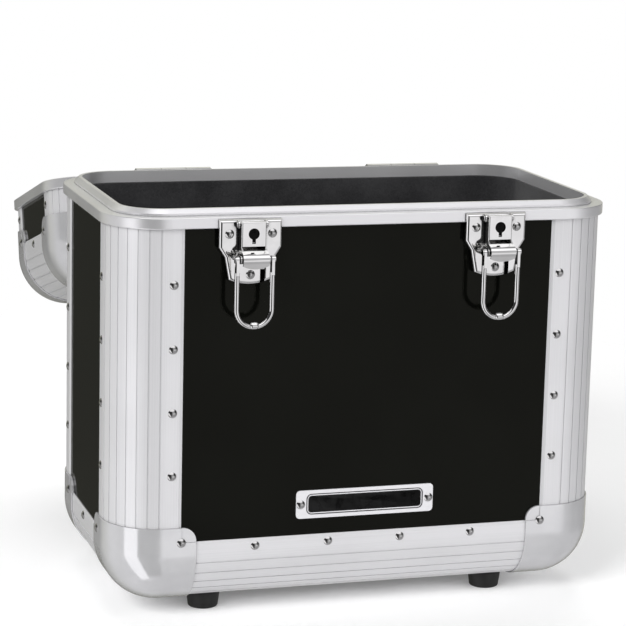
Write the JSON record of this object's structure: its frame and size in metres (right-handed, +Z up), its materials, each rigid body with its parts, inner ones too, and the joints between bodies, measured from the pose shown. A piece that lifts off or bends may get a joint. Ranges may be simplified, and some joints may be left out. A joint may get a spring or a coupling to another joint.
{
  "type": "record carrying case",
  "caption": "Rigid flight-style case for records: black panels in rounded aluminium edging, polished ball corners, lift-up draw latches and a hinged lid resting open.",
  "frame": {"origin": "centre of the body's underside, in the plane of the edge extrusions' bottom faces; the rubber feet reach 11 mm below it", "axes": "+Z up, -Y towards the front with the latches and name plate, +X to the right as seen from the front; the open lid lies behind, towards +Y"},
  "size_m": [0.382, 0.4554, 0.3018],
  "materials": {
    "panel_laminate": "black laminated plywood, smooth and glossy",
    "extrusion_aluminium": "satin anodised, grooved round the bend",
    "rim_aluminium": "satin anodised",
    "corner_chrome": "polished plated steel pressing",
    "lining_cloth": "dark felted lining",
    "foam": "dark foam",
    "foot_rubber": "matt black rubber",
    "plate_aluminium": "brushed, bare, no lettering",
    "grip_plastic": "moulded black",
    "rivet_chrome": "polished domed heads",
    "pin_steel": "plated steel",
    "fitting_chrome": "polished plated steel"
  },
  "bodies": {
    "case_body": {"ball_corner_front_left": "corner_chrome", "ball_corner_front_right": "corner_chrome", "ball_corner_rear_left": "corner_chrome", "ball_corner_rear_right": "corner_chrome", "base_extrusion_front": "extrusion_aluminium", "base_extrusion_left": "extrusion_aluminium", "base_extrusion_rear": "extrusion_aluminium", "base_extrusion_right": "extrusion_aluminium", "base_panel": "panel_laminate", "body_lining": "lining_cloth", "body_rim": "rim_aluminium", "body_rivets": "rivet_chrome", "corner_extrusion_front_left": "extrusion_aluminium", "corner_extrusion_front_right": "extrusion_aluminium", "corner_extrusion_rear_left": "extrusion_aluminium", "corner_extrusion_rear_right": "extrusion_aluminium", "floor_pad": "foam", "foot_screws": "pin_steel", "front_panel": "panel_laminate", "hinge_body_leaves": "fitting_chrome", "hinge_pins": "pin_steel", "latch_pins": "pin_steel", "latch_plate_left": "fitting_chrome", "latch_plate_right": "fitting_chrome", "left_panel": "panel_laminate", "name_plate": "plate_aluminium", "rear_panel": "panel_laminate", "right_panel": "panel_laminate", "rubber_feet": "foot_rubber"},
    "lid": {"handle_brackets": "fitting_chrome", "hinge_lid_leaves": "fitting_chrome", "latch_catch_left": "fitting_chrome", "latch_catch_right": "fitting_chrome", "lid_ball_corner_front_left": "corner_chrome", "lid_ball_corner_front_right": "corner_chrome", "lid_ball_corner_rear_left": "corner_chrome", "lid_ball_corner_rear_right": "corner_chrome", "lid_corner_extrusions": "extrusion_aluminium", "lid_edge_extrusion_front": "extrusion_aluminium", "lid_edge_extrusion_left": "extrusion_aluminium", "lid_edge_extrusion_rear": "extrusion_aluminium", "lid_edge_extrusion_right": "extrusion_aluminium", "lid_front_panel": "panel_laminate", "lid_left_panel": "panel_laminate", "lid_lining": "lining_cloth", "lid_pad": "foam", "lid_rear_panel": "panel_laminate", "lid_right_panel": "panel_laminate", "lid_rim": "rim_aluminium", "lid_rivets": "rivet_chrome", "lid_top_panel": "panel_laminate"},
    "lever_left": {"latch_lever_left": "fitting_chrome"},
    "loop_left": {"latch_loop_left": "fitting_chrome"},
    "core_left": {"lock_core_left": "fitting_chrome"},
    "lever_right": {"latch_lever_right": "fitting_chrome"},
    "loop_right": {"latch_loop_right": "fitting_chrome"},
    "core_right": {"lock_core_right": "fitting_chrome"},
    "carry_handle": {"handle_bail": "fitting_chrome", "handle_grip": "grip_plastic"}
  },
  "joints": [
    {"name": "lid_hinge", "type": "hinge", "parent": "case_body", "child": "lid", "pos_m": [0, 0.1108, 0.2862], "axis": [1, 0, 0], "range_deg": [0, 195.09]},
    {"name": "lever_left_lift", "type": "hinge", "parent": "case_body", "child": "lever_left", "pos_m": [-0.092, -0.1116, 0.2816], "axis": [1, 0, 0], "range_deg": [-90, 0]},
    {"name": "loop_left_swing", "type": "hinge", "parent": "lever_left", "child": "loop_left", "pos_m": [-0.092, -0.1205, 0.258], "axis": [-1, 0, 0], "range_deg": [-10, 187]},
    {"name": "core_left_turn", "type": "hinge", "parent": "lever_left", "child": "core_left", "pos_m": [-0.092, -0.11465, 0.2755], "axis": [0, 1, 0], "range_deg": [0, 90]},
    {"name": "lever_right_lift", "type": "hinge", "parent": "case_body", "child": "lever_right", "pos_m": [0.092, -0.1116, 0.2816], "axis": [1, 0, 0], "range_deg": [-90, 0]},
    {"name": "loop_right_swing", "type": "hinge", "parent": "lever_right", "child": "loop_right", "pos_m": [0.092, -0.1205, 0.258], "axis": [-1, 0, 0], "range_deg": [-10, 187]},
    {"name": "core_right_turn", "type": "hinge", "parent": "lever_right", "child": "core_right", "pos_m": [0.092, -0.11465, 0.2755], "axis": [0, 1, 0], "range_deg": [0, 90]},
    {"name": "handle_swing", "type": "hinge", "parent": "lid", "child": "carry_handle", "pos_m": [0, 0.19195, 0.16157], "axis": [1, 0, 0], "range_deg": [-100, 70]}
  ]
}
